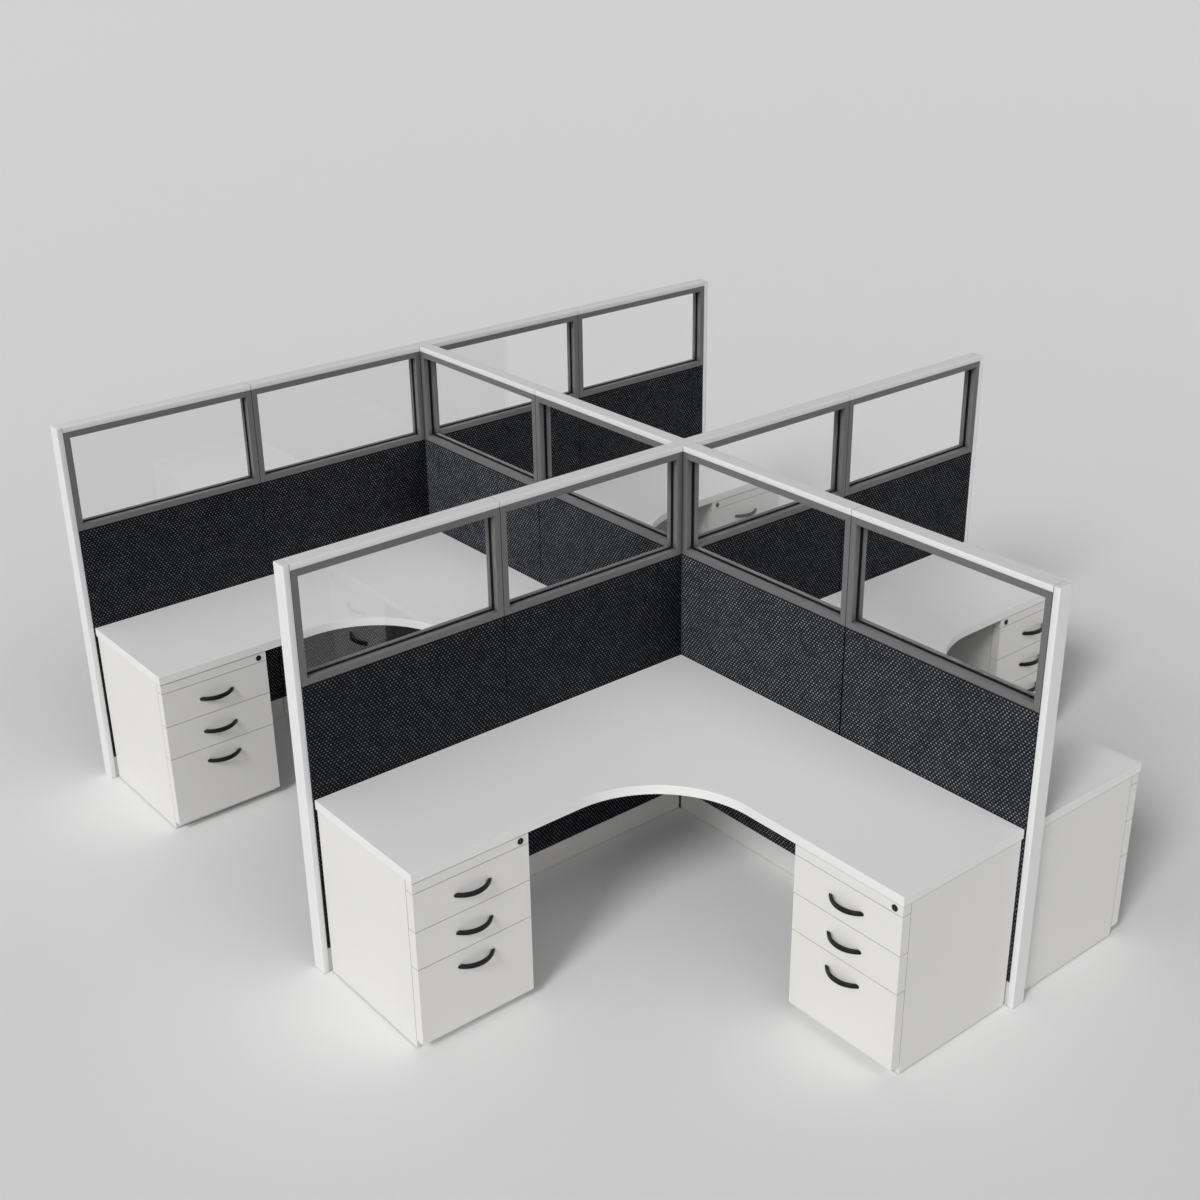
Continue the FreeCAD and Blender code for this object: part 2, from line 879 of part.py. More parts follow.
def bay():
    # one bay's nodes; the shared ones keep plain names
    brackets, spots = desk_brackets()
    screws = [wood_screw(x, y, desk_underside - bracket_flange_thickness) for x, y in spots]
    nodes = {"desk_brackets": brackets, "pedestal_glides": []}
    wings = {"cross": (0, 0, -pedestal_place), "spine": (-90, pedestal_place, 0)}
    for wing, place in wings.items():
        nodes["BAY_" + wing + "_pedestal"] = [turned(solid, *place) for solid in pedestal()]
        nodes["BAY_" + wing + "_lock"] = [turned(solid, *place) for solid in lock()]
        nodes["pedestal_glides"] += [turned(solid, *place) for solid in glides()]
        for index, name in enumerate(drawer_names):
            drawer_node = "BAY_" + wing + "_" + name + "_drawer"
            nodes[drawer_node] = [turned(solid, *place) for solid in drawer(index)]
        pedestal_spots = placed_points(pedestal_screw_points(), *place)
        screws += [wood_screw(x, y, carcass_top) for x, y in pedestal_spots]
        spots += pedestal_spots
    nodes["BAY_desktop"] = [desktop([screw_hole(*spot) for spot in spots])]
    nodes["screws"] = screws
    return nodes


def place_bays():
    # the right bays mirror the left ones, and the rear bays stand two modules behind the front ones
    nodes = {}
    corner_x = middle_x + screen_half
    pattern = bay()
    for depth_name, shift in (("front", 0), ("rear", rear_x - middle_x)):
        for side_name in ("left", "right"):
            for name, solids in pattern.items():
                target = nodes.setdefault(name.replace("BAY", depth_name + "_" + side_name), [])
                for solid in solids:
                    copy = turned(solid, 0, corner_x + shift, -screen_half)
                    if side_name == "right":
                        copy = copy.mirror(Vector(0, 0, 0), Vector(0, 1, 0))
                    target.append(copy)
    return nodes


def main():
    os.makedirs("parts", exist_ok=True)
    nodes = screens()
    nodes.update(place_bays())
    for name, solids in nodes.items():
        Part.makeCompound(solids).exportStep("parts/" + name + ".step")
    print(len(nodes), "nodes,", sum(len(solids) for solids in nodes.values()), "solids")


if __name__ == "__main__":
    main()
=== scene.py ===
import bpy
import bmesh
import json
import math
from mathutils import Matrix, Vector


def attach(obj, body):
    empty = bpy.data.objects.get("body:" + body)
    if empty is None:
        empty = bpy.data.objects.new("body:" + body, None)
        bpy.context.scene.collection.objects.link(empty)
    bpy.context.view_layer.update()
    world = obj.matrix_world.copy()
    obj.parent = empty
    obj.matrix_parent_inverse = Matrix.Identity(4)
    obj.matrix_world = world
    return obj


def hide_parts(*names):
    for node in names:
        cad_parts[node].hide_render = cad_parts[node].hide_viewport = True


# Lengths are metres, in the part's own frame: +X along the spine, +Y across it, +Z up, floor at 0.

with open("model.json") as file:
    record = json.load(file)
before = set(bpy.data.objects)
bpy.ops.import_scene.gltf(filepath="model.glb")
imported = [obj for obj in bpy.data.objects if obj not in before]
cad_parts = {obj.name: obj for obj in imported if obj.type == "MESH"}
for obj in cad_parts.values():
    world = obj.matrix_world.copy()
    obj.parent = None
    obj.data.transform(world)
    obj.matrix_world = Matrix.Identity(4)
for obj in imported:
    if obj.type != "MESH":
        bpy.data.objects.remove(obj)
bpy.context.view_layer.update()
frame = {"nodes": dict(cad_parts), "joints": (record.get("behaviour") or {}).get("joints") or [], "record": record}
nodes = frame["nodes"]
bodyNodes = frame["record"]["behaviour"]["bodies"]
nodeBody = {node: body for body, members in bodyNodes.items() for node in members}
slideAxis = {joint["child"]: Vector(joint["axis"]) for joint in frame["joints"]}
mainBody = nodeBody["top_caps"]


# Node trees

editorGrid = {"columns": 9, "across": 220, "down": 240}  # rows a user can read
floatSocket, colorSocket, vectorSocket = "NodeSocketFloat", "NodeSocketColor", "NodeSocketVector"
geometrySocket = "NodeSocketGeometry"
unitRange = (0.0, 1.0)


def feed(tree, node, inputs):
    for key, value in inputs.items():
        if isinstance(value, bpy.types.NodeSocket):
            tree.links.new(value, node.inputs[key])
        else:
            node.inputs[key].default_value = value


def addNode(tree, kind, inputs=None, **settings):
    made = tree.nodes.new(kind)
    for setting, value in settings.items():
        setattr(made, setting, value)
    feed(tree, made, inputs or {})
    row, column = divmod(len(tree.nodes), editorGrid["columns"])
    made.location = (editorGrid["across"] * column, -editorGrid["down"] * row)
    return made


def math1(tree, operation, first, second=0.0):
    return addNode(tree, "ShaderNodeMath", {0: first, 1: second}, operation=operation).outputs[0]


def plus(tree, first, second):
    return math1(tree, "ADD", first, second)


def minus(tree, first, second):
    return math1(tree, "SUBTRACT", first, second)


def times(tree, first, second):
    return math1(tree, "MULTIPLY", first, second)


def ratio(tree, first, second):
    return math1(tree, "DIVIDE", first, second)


def squared(tree, value):
    return times(tree, value, value)


def vectorMath(tree, operation, first, second):
    return addNode(tree, "ShaderNodeVectorMath", {0: first, 1: second}, operation=operation).outputs[0]


def vector3(tree, x=0.0, y=0.0, z=0.0):
    return addNode(tree, "ShaderNodeCombineXYZ", {"X": x, "Y": y, "Z": z}).outputs[0]


def partsOf(tree, vector):
    return addNode(tree, "ShaderNodeSeparateXYZ", {0: vector}).outputs


def mapRange(tree, value, start, end, **settings):
    inputs = {"Value": value, "From Min": start[0], "From Max": start[1], "To Min": end[0], "To Max": end[1]}
    return addNode(tree, "ShaderNodeMapRange", inputs, **settings).outputs["Result"]


def blend(tree, share, first, second):
    return addNode(tree, "ShaderNodeMix", {0: share, 2: first, 3: second}).outputs[0]


def blendColor(tree, share, first, second):
    return addNode(tree, "ShaderNodeMix", {0: share, 6: first, 7: second}, data_type="RGBA").outputs[2]


def objectPlace(tree):
    return addNode(tree, "ShaderNodeTexCoord").outputs["Object"]


def noise(tree, place, scale, detail, softness=0.5):
    inputs = {"Vector": place, "Scale": scale, "Detail": detail, "Roughness": softness}
    return addNode(tree, "ShaderNodeTexNoise", inputs).outputs["Fac"]


def newGroup(name, kind, inputs, outputs):
    tree = bpy.data.node_groups.new(name, kind)
    for title, socketType, value in inputs:
        socket = tree.interface.new_socket(title, in_out="INPUT", socket_type=socketType)
        if value is not None:
            socket.default_value = value
    for title, socketType in outputs:
        tree.interface.new_socket(title, in_out="OUTPUT", socket_type=socketType)
    return tree, addNode(tree, "NodeGroupInput").outputs, addNode(tree, "NodeGroupOutput").inputs


def useGroup(tree, group, inputs):
    return addNode(tree, "ShaderNodeGroup", inputs, node_tree=group).outputs


# Effects that several finishes share

grainNoise = {"detail": 3.0, "contrast": (0.35, 0.65)}
cloudNoise = {"detail": 4.0, "softness": 0.6, "contrast": (0.3, 0.7)}
lineNoise = {"detail": 2.0, "contrast": (0.3, 0.7)}
fadingNoise = {"scale": 14.0, "detail": 3.0, "softness": 0.6, "contrast": (0.3, 0.7)}
# rays for the painted shade in joints and inner corners
paintedShadeRays = 4
fullyOpen = 0.9  # share of open surroundings from which no shade is left
floatEdge = (0.58, 0.42)  # where a float ends and where it is full, in its own size
floatLift = 0.6  # how far a float stands over the threads, in thread heights


def grainGroup():
    # fine unevenness of a coating or moulding: height for a bump, and a mask from 0 to 1
    tree, given, result = newGroup(
        "surfaceGrain", "ShaderNodeTree",
        [("Grain Size", floatSocket, 0.001), ("Softness", floatSocket, 0.5)],
        [("Height", floatSocket), ("Mask", floatSocket)])
    scale = ratio(tree, 1.0, given["Grain Size"])
    fine = noise(tree, objectPlace(tree), scale, grainNoise["detail"], given["Softness"])
    tree.links.new(fine, result["Height"])
    tree.links.new(mapRange(tree, fine, grainNoise["contrast"], unitRange), result["Mask"])
    return tree


def handlingGroup():
    # broad, faint clouds from cleaning and handling, and a little more dust near the floor
    tree, given, result = newGroup(
        "handlingTone", "ShaderNodeTree",
        [("Color", colorSocket, (0.8, 0.8, 0.8, 1)), ("Cloud Size", floatSocket, 0.35),
         ("Cloud Amount", floatSocket, 0.03), ("Dust Height", floatSocket, 0.05),
         ("Dust Amount", floatSocket, 0.04)],
        [("Color", colorSocket), ("Mask", floatSocket)])
    place = objectPlace(tree)
    scale = ratio(tree, 1.0, given["Cloud Size"])
    clouds = noise(tree, place, scale, cloudNoise["detail"], cloudNoise["softness"])
    mask = mapRange(tree, clouds, cloudNoise["contrast"], unitRange)
    cloudy = times(tree, mask, given["Cloud Amount"])
    low = mapRange(tree, partsOf(tree, place)["Z"], (0.0, given["Dust Height"]), (1.0, 0.0))
    dusty = times(tree, low, given["Dust Amount"])
    darker = minus(tree, 1.0, plus(tree, cloudy, dusty))
    tree.links.new(vectorMath(tree, "MULTIPLY", given["Color"], darker), result["Color"])
    tree.links.new(mask, result["Mask"])
    return tree


def drawnGroup():
    # fine straight lines left by drawing or brushing, stretched along one direction
    tree, given, result = newGroup(
        "drawnLines", "ShaderNodeTree",
        [("Line Scale", vectorSocket, (900.0, 900.0, 4.0))],
        [("Height", floatSocket), ("Mask", floatSocket)])
    stretched = vectorMath(tree, "MULTIPLY", objectPlace(tree), given["Line Scale"])
    lines = noise(tree, stretched, 1.0, lineNoise["detail"])
    tree.links.new(lines, result["Height"])
    tree.links.new(mapRange(tree, lines, lineNoise["contrast"], unitRange), result["Mask"])
    return tree


def paintedShadeGroup():
    # painted shade: darker in joints and inner corners, where little light gets in, as ambient occlusion finds
    # them
    tree, given, result = newGroup(
        "paintedJointShade", "ShaderNodeTree",
        [("Color", colorSocket, (0.8, 0.8, 0.8, 1)), ("Reach", floatSocket, 0.01),
         ("Darkest", floatSocket, 0.3)],
        [("Color", colorSocket)])
    around = addNode(tree, "ShaderNodeAmbientOcclusion", {"Distance": given["Reach"]}, samples=paintedShadeRays)
    tone = mapRange(tree, around.outputs["AO"], (0.0, fullyOpen), (given["Darkest"], 1.0))
    tree.links.new(vectorMath(tree, "MULTIPLY", given["Color"], tone), result["Color"])
    return tree


def threadHump(tree, place):
    return math1(tree, "ABSOLUTE", math1(tree, "SINE", times(tree, place, math.pi)))


def weaveGroup():
    # woven panel cloth: dark threads, and pale floats in staggered rows
    tree, given, result = newGroup(
        "panelWeave", "ShaderNodeTree",
        [("Float Spacing", floatSocket, 0.0149), ("Row Spacing", floatSocket, 0.0101),
         ("Float Width", floatSocket, 0.006), ("Float Height", floatSocket, 0.0048),
         ("Threads", floatSocket, 6.0), ("Unevenness", floatSocket, 0.5)],
        [("Float", floatSocket), ("Thread", floatSocket), ("Height", floatSocket), ("Fading", floatSocket)])
    place = objectPlace(tree)
    parts = partsOf(tree, place)
    across = plus(tree, parts["X"], parts["Y"])  # a tile's face holds one of the two still
    up = parts["Z"]

    rows = ratio(tree, up, given["Row Spacing"])
    row = math1(tree, "FLOOR", rows)
    shift = times(tree, math1(tree, "FLOORED_MODULO", row, 2.0), 0.5)  # half a spacing, every other row
    column = plus(tree, ratio(tree, across, given["Float Spacing"]), shift)
    cell = vector3(tree, math1(tree, "FLOOR", column), row)
    luck = addNode(tree, "ShaderNodeTexWhiteNoise", {"Vector": cell}, noise_dimensions="2D")

    offX = minus(tree, math1(tree, "FRACT", column), 0.5)
    offZ = minus(tree, math1(tree, "FRACT", rows), 0.5)
    sideX = ratio(tree, times(tree, offX, given["Float Spacing"]), given["Float Width"])
    sideZ = ratio(tree, times(tree, offZ, given["Row Spacing"]), given["Float Height"])
    away = math1(tree, "SQRT", plus(tree, squared(tree, sideX), squared(tree, sideZ)))
    dot = mapRange(tree, away, floatEdge, unitRange, interpolation_type="SMOOTHSTEP")
    dull = minus(tree, 1.0, times(tree, luck.outputs["Value"], given["Unevenness"]))

    pitch = ratio(tree, given["Float Spacing"], given["Threads"])
    threadX, threadZ = ratio(tree, across, pitch), ratio(tree, up, pitch)
    roundX, roundZ = threadHump(tree, threadX), threadHump(tree, threadZ)
    crossing = plus(tree, math1(tree, "FLOOR", threadX), math1(tree, "FLOOR", threadZ))
    plain = blend(tree, math1(tree, "FLOORED_MODULO", crossing, 2.0), roundX, roundZ)
    thread = blend(tree, dot, plain, roundX)  # a float lies on top

    tree.links.new(times(tree, dot, dull), result["Float"])
    tree.links.new(thread, result["Thread"])
    tree.links.new(plus(tree, thread, times(tree, dot, floatLift)), result["Height"])
    fading = noise(tree, place, fadingNoise["scale"], fadingNoise["detail"], fadingNoise["softness"])
    tree.links.new(fading, result["Fading"])
    return tree


surfaceGrain = grainGroup()
handlingTone = handlingGroup()
drawnLines = drawnGroup()
paintedJointShade = paintedShadeGroup()
panelWeave = weaveGroup()


# Finishes

bumpDepths = {"grain": 0.15, "lines": 0.0001, "cloth": 0.0008}  # grain's is a share of its size


def newMaterial(name):
    material = bpy.data.materials.new(name)
    material.use_nodes = True
    tree = material.node_tree
    tree.nodes.clear()
    shader = addNode(tree, "ShaderNodeBsdfPrincipled")
    addNode(tree, "ShaderNodeOutputMaterial", {"Surface": shader.outputs[0]})
    return material, tree, shader


def handledColor(tree, look):
    return useGroup(tree, handlingTone, {
        "Color": (*look["color"], 1), "Cloud Size": look["cloudSize"], "Cloud Amount": look["cloudAmount"],
        "Dust Height": look["dustHeight"], "Dust Amount": look["dustAmount"]})


# painted shade: the colour darkened by ambient occlusion in joints and inner corners
def addPaintedShade(tree, color, look):
    return useGroup(tree, paintedJointShade, {"Color": color, "Reach": look["paintedShadeReach"],
                                       "Darkest": look["paintedShadeTone"]})["Color"]


def roughFrom(tree, mask, look):
    return mapRange(tree, mask, unitRange, look["rough"])


def bumpFrom(tree, height, strength, distance, **more):
    inputs = {"Strength": strength, "Distance": distance, "Height": height, **more}
    return addNode(tree, "ShaderNodeBump", inputs).outputs[0]


def coatedFinish(name, look):
    # paint, powder coat or moulded plastic: even colour, faint clouds, fine grain
    material, tree, shader = newMaterial(name)
    toned = handledColor(tree, look)
    grain = useGroup(tree, surfaceGrain, {"Grain Size": look["grainSize"]})
    depth = look["grainSize"] * bumpDepths["grain"]
    # the base colour carries painted shade in joints and inner corners
    feed(tree, shader, {
        "Base Color": addPaintedShade(tree, toned["Color"], look),
        "Roughness": roughFrom(tree, toned["Mask"], look),
        "Normal": bumpFrom(tree, grain["Height"], look["bump"], depth),
        "Specular IOR Level": look["specular"]})
    return material


def laminateFinish(look):
    # laminate faces and a smoother plastic band round the board, told apart by the mesh's own attribute
    material, tree, shader = newMaterial("whiteLaminate")
    band = addNode(tree, "ShaderNodeAttribute", attribute_name="edgeBand").outputs["Fac"]
    toned = handledColor(tree, look)
    grain = useGroup(tree, surfaceGrain, {"Grain Size": look["grainSize"]})
    height = times(tree, grain["Height"], minus(tree, 1.0, times(tree, band, look["bandFlatness"])))
    depth = look["grainSize"] * bumpDepths["grain"]
    feed(tree, shader, {
        "Base Color": blendColor(tree, band, toned["Color"], (*look["bandColor"], 1)),
        "Roughness": blend(tree, band, roughFrom(tree, toned["Mask"], look), look["bandRough"]),
        "Normal": bumpFrom(tree, height, look["bump"], depth), "Specular IOR Level": look["specular"]})
    return material


def metalFinish(name, look):
    # drawn or plated metal with fine lines along one direction
    material, tree, shader = newMaterial(name)
    toned = handledColor(tree, look)
    lines = useGroup(tree, drawnLines, {"Line Scale": look["lineScale"]})
    # the base colour carries painted shade in joints, seams and reveals
    feed(tree, shader, {
        "Base Color": addPaintedShade(tree, toned["Color"], look),
        "Roughness": roughFrom(tree, lines["Mask"], look),
        "Normal": bumpFrom(tree, lines["Height"], look["bump"], bumpDepths["lines"]),
        "Metallic": look["metallic"], "Specular IOR Level": look["specular"]})
    return material


def napNormal(tree, leanAmount):
    outward = addNode(tree, "ShaderNodeNewGeometry").outputs["Normal"]
    sideways = vectorMath(tree, "CROSS_PRODUCT", (0.0, 0.0, 1.0), outward)
    lean = addNode(tree, "ShaderNodeVectorMath", {0: sideways, "Scale": leanAmount}, operation="SCALE")
    leaning = vectorMath(tree, "ADD", outward, lean.outputs[0])
    return addNode(tree, "ShaderNodeVectorMath", {0: leaning}, operation="NORMALIZE").outputs[0]


def weaveFinish(look):
    # the cloth's nap lies over to one side of each tile, so it is darker where the light comes from the other
    material, tree, shader = newMaterial("panelCloth")
    weave = useGroup(tree, panelWeave, {
        "Float Spacing": look["floatSpacing"], "Row Spacing": look["rowSpacing"],
        "Float Width": look["floatWidth"], "Float Height": look["floatHeight"],
        "Threads": look["threads"], "Unevenness": look["unevenness"]})
    gaps = mapRange(tree, weave["Thread"], unitRange, (look["gapShade"], 1.0))
    fade = mapRange(tree, weave["Fading"], fadingNoise["contrast"], look["fading"])
    mixed = blendColor(tree, weave["Float"], (*look["ground"], 1), (*look["float"], 1))
    color = vectorMath(tree, "MULTIPLY", mixed, times(tree, gaps, fade))
    nap = napNormal(tree, look["napLean"])
    # the cloth carries painted shade in the seams between tiles
    feed(tree, shader, {
        "Base Color": addPaintedShade(tree, color, look), "Roughness": look["rough"],
        "Normal": bumpFrom(tree, weave["Height"], look["bump"], bumpDepths["cloth"], Normal=nap),
        "Specular IOR Level": look["specular"]})
    return material


def glassFinish(look):
    # clear glass; lamps shine through it, so that it leaves no dark shadow
    material, tree, shader = newMaterial("windowGlass")
    surface = shader.outputs[0].links[0].to_node
    grain = useGroup(tree, surfaceGrain, {"Grain Size": look["smearSize"], "Softness": look["smearSoftness"]})
    feed(tree, shader, {
        "Roughness": roughFrom(tree, grain["Mask"], look), "Base Color": (*look["color"], 1),
        "Transmission Weight": 1.0, "IOR": look["ior"]})
    through = addNode(tree, "ShaderNodeBsdfTransparent", {"Color": (*look["shadow"], 1)})
    ray = addNode(tree, "ShaderNodeLightPath")
    shown = addNode(tree, "ShaderNodeMixShader", {
        0: ray.outputs["Is Shadow Ray"], 1: shader.outputs[0], 2: through.outputs[0]})
    feed(tree, surface, {"Surface": shown.outputs[0]})
    return material


# paintedShadeReach and paintedShadeTone: how far the painted shade in joints and corners reaches, and how dark it
# gets there
noDust = {"dustHeight": 0.05, "dustAmount": 0.0}
steelLook = {"color": (0.68, 0.674, 0.659), "cloudSize": 0.45, "cloudAmount": 0.02, "dustHeight": 0.06,
             "dustAmount": 0.03, "grainSize": 0.0012, "bump": 0.12, "rough": (0.42, 0.5), "specular": 0.35,
             "paintedShadeReach": 0.008, "paintedShadeTone": 0.45}
capLook = {"color": (0.70, 0.70, 0.70), "cloudSize": 0.5, "cloudAmount": 0.015, "dustHeight": 0.08,
           "dustAmount": 0.03, "grainSize": 0.0009, "bump": 0.08, "rough": (0.4, 0.47), "specular": 0.4,
           "paintedShadeReach": 0.008, "paintedShadeTone": 0.3}
laminateLook = {"color": (0.81, 0.81, 0.81), "cloudSize": 0.6, "cloudAmount": 0.015, **noDust,
                "grainSize": 0.0006, "bump": 0.15, "rough": (0.45, 0.55), "specular": 0.35,
                "bandColor": (0.72, 0.72, 0.71), "bandRough": 0.38, "bandFlatness": 0.7}
handleLook = {"color": (0.007, 0.007, 0.007), "cloudSize": 0.05, "cloudAmount": 0.1, "dustHeight": 0.01,
              "dustAmount": 0.0, "grainSize": 0.0005, "bump": 0.15, "rough": (0.28, 0.36), "specular": 0.2,
              "paintedShadeReach": 0.004, "paintedShadeTone": 0.5}
rubberLook = {"color": (0.006, 0.006, 0.006), "cloudSize": 0.1, "cloudAmount": 0.1, "dustHeight": 0.01,
              "dustAmount": 0.0, "grainSize": 0.0008, "bump": 0.3, "rough": (0.6, 0.75), "specular": 0.08,
              "paintedShadeReach": 0.004, "paintedShadeTone": 0.5}
plasticLook = {"color": (0.02, 0.02, 0.02), "cloudSize": 0.04, "cloudAmount": 0.15, "dustHeight": 0.004,
               "dustAmount": 0.3, "grainSize": 0.0006, "bump": 0.2, "rough": (0.45, 0.6), "specular": 0.45,
               "paintedShadeReach": 0.004, "paintedShadeTone": 0.5}
darkSteelLook = dict(plasticLook, color=(0.008, 0.008, 0.009), cloudSize=0.2, grainSize=0.001, specular=0.1)
# the window bars' painted shade reaches 35 mm, over their reveals and into the seams, and goes to black where they
# are closed in
stileLook = {"color": (0.143, 0.143, 0.143), "cloudSize": 0.3, "cloudAmount": 0.05, **noDust,
             "lineScale": (1400, 1400, 6), "rough": (0.4, 0.5), "bump": 0.12, "metallic": 0.0,
             "specular": 0.15, "paintedShadeReach": 0.035, "paintedShadeTone": 0.0}
railLook = dict(stileLook, lineScale=(6, 6, 1400))
zincLook = {"color": (0.62, 0.63, 0.64), "cloudSize": 0.03, "cloudAmount": 0.12, **noDust,
            "lineScale": (40, 40, 1200), "rough": (0.3, 0.42), "bump": 0.1, "metallic": 1.0, "specular": 0.5,
            "paintedShadeReach": 0.01, "paintedShadeTone": 0.3}
clothLook = {"ground": (0.026, 0.029, 0.035), "float": (0.47, 0.48, 0.50), "floatSpacing": 0.01493,
             "rowSpacing": 0.01014, "floatWidth": 0.0062, "floatHeight": 0.0052, "threads": 6.0,
             "unevenness": 0.7, "gapShade": 0.45, "fading": (0.8, 1.15), "bump": 0.5, "rough": 0.85,
             "specular": 0.03, "napLean": 1.25, "paintedShadeReach": 0.012, "paintedShadeTone": 0.1}
glassLook = {"color": (0.99, 0.99, 0.99), "shadow": (0.87, 0.87, 0.87), "ior": 1.52, "rough": (0.0, 0.01),
             "smearSize": 0.08, "smearSoftness": 0.6}

coatedSteel = coatedFinish("coatedSteel", steelLook)
coatedAluminium = coatedFinish("coatedAluminium", capLook)
whiteLaminate = laminateFinish(laminateLook)
blackCoat = coatedFinish("blackCoat", handleLook)
gasketRubber = coatedFinish("gasketRubber", rubberLook)
glidePlastic = coatedFinish("glidePlastic", plasticLook)
darkSteel = coatedFinish("darkSteel", darkSteelLook)
stileMetal = metalFinish("stileMetal", stileLook)
railMetal = metalFinish("railMetal", railLook)
zincPlate = metalFinish("zincPlate", zincLook)
panelCloth = weaveFinish(clothLook)
windowGlass = glassFinish(glassLook)
print("finishes:", len(bpy.data.materials))


# Solids of the CAD nodes, read as closed meshes

weldStep = 1e-6  # corners this near each other are one
boxReach = weldStep * 5  # a corner this near its solid's box is an outer one
flatAngle = math.radians(0.5)
cornerAngle = math.radians(40)
smoothAngle = math.radians(35)
bevelStyle = {"segments": 2, "profile": 0.5, "affect": "EDGES"}
evenWeight = 100  # the larger faces decide the normals


def asSolid(corners, faces):
    low = Vector(min(corner[axis] for corner in corners.values()) for axis in range(3))
    high = Vector(max(corner[axis] for corner in corners.values()) for axis in range(3))
    return {"corners": corners, "faces": faces, "low": low, "high": high}


def touchingGroups(corners, faces):
    # faces that share corners, for what is left when an edge never closes
    groups = []
    for ring in faces:
        keys, kept, joined = set(ring), [], [ring]
        for groupKeys, groupFaces in groups:
            if groupKeys & keys:
                keys |= groupKeys
                joined += groupFaces
            else:
                kept.append((groupKeys, groupFaces))
        groups = kept + [(keys, joined)]
    return [asSolid({key: corners[key] for key in keys}, joined) for keys, joined in groups]


def solidsOf(node):
    # the node's triangles come solid by solid, so a solid ends where its last open edge closes
    mesh = nodes[node].data
    keys = [tuple(round(value / weldStep) for value in vertex.co) for vertex in mesh.vertices]
    solids, openEdges, corners, faces = [], set(), {}, []
    for polygon in mesh.polygons:
        ring = [keys[index] for index in polygon.vertices]
        for index, key in zip(polygon.vertices, ring):
            corners.setdefault(key, mesh.vertices[index].co.copy())
        if len(set(ring)) == len(ring):
            faces.append(ring)
        for edge in zip(ring, ring[1:] + ring[:1]):
            if edge[::-1] in openEdges:
                openEdges.remove(edge[::-1])
            elif edge[0] != edge[1]:
                openEdges.add(edge)
        if not openEdges and faces:
            solids.append(asSolid(corners, faces))
            corners, faces = {}, []
    return solids + touchingGroups(corners, faces)


def heightOf(solid):
    return solid["high"].z - solid["low"].z


def middleOf(solid):
    return (solid["low"] + solid["high"]) / 2


def halfAlong(solid, axis):
    return abs((solid["high"] - solid["low"]).dot(axis)) / 2


def sortedByHeight(solids, ranges):
    # splits a node's solids by how tall they are; the others go under "rest"
    groups = {title: [] for title in list(ranges) + ["rest"]}
    for solid in solids:
        height = heightOf(solid)
        title = next((title for title, (low, high) in ranges.items() if low < height < high), "rest")
        groups[title].append(solid)
    return groups


def meshFrom(shape, name):
    mesh = bpy.data.meshes.new(name)
    shape.to_mesh(mesh)
    shape.free()
    return mesh


def addSolid(shape, solid, softness, shortest):
    # adds one solid to a mesh, with its outer edges rounded
    part = bmesh.new()
    made = {key: part.verts.new(place) for key, place in solid["corners"].items()}
    for ring in solid["faces"]:
        part.faces.new([made[key] for key in ring])
    bmesh.ops.dissolve_limit(part, angle_limit=flatAngle, verts=part.verts, edges=part.edges)
    if softness:
        roundOuterEdges(part, solid, softness, shortest)
    spare = meshFrom(part, "spare")
    shape.from_mesh(spare)
    bpy.data.meshes.remove(spare)


def roundOuterEdges(part, solid, softness, shortest):
    low, high = solid["low"], solid["high"]

    def outside(place):
        return any(min(abs(place[axis] - low[axis]), abs(place[axis] - high[axis])) < boxReach
                   for axis in range(3))

    edges = []
    for edge in part.edges:
        if len(edge.link_faces) != 2 or edge.calc_length() <= shortest:
            continue
        if edge.calc_face_angle_signed(0) > cornerAngle and all(outside(corner.co) for corner in edge.verts):
            edges.append(edge)
    bmesh.ops.bevel(part, geom=edges, offset=softness, clamp_overlap=True, **bevelStyle)


def makePiece(name, mesh, material, body, slot, *replaced):
    mesh.name = name
    mesh.shade_smooth()
    mesh.set_sharp_from_angle(angle=smoothAngle)
    mesh.materials.clear()
    mesh.materials.append(material)
    piece = bpy.data.objects.new(name, mesh)
    bpy.context.scene.collection.objects.link(piece)
    even = piece.modifiers.new("evenNormals", "WEIGHTED_NORMAL")
    even.keep_sharp = True
    even.weight = evenWeight
    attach(piece, body)
    if replaced:
        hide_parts(*replaced)
    return piece


def softPiece(name, solids, material, body, slot, replaced, softness=0.0006, shortest=0.006):
    shape = bmesh.new()
    for solid in solids:
        addSolid(shape, solid, softness, shortest)
    return makePiece(name, meshFrom(shape, name), material, body, slot, *replaced)


# Geometry Nodes: a tree is run on a holder and leaves a plain mesh

def pointCloud(points):
    mesh = bpy.data.meshes.new("points")
    mesh.from_pydata(list(points), [], [])
    return mesh


def growMesh(tree, inputs, holderMesh):
    holder = bpy.data.objects.new("holder", holderMesh)
    bpy.context.scene.collection.objects.link(holder)
    modifier = holder.modifiers.new("grow", "NODES")
    modifier.node_group = tree
    for item in tree.interface.items_tree:
        if item.item_type == "SOCKET" and item.in_out == "INPUT" and item.name in inputs:
            modifier[item.identifier] = inputs[item.name]
    evaluated = holder.evaluated_get(bpy.context.evaluated_depsgraph_get())
    mesh = bpy.data.meshes.new_from_object(evaluated)
    holder.modifiers.remove(modifier)
    bpy.data.objects.remove(holder)
    bpy.data.meshes.remove(holderMesh)
    return mesh


def endTree(tree, geometry, material, result):
    real = addNode(tree, "GeometryNodeRealizeInstances", {0: geometry})
    dressed = addNode(tree, "GeometryNodeSetMaterial", {"Geometry": real.outputs[0], "Material": material})
    tree.links.new(dressed.outputs[0], result["Geometry"])


def geometryTree(name, sizes):
    inputs = [("Geometry", geometrySocket, None)]
    inputs += [(title, floatSocket, value) for title, value in sizes.items()]
    return newGroup(name, "GeometryNodeTree", inputs, [("Geometry", geometrySocket)])


# Drawer handles

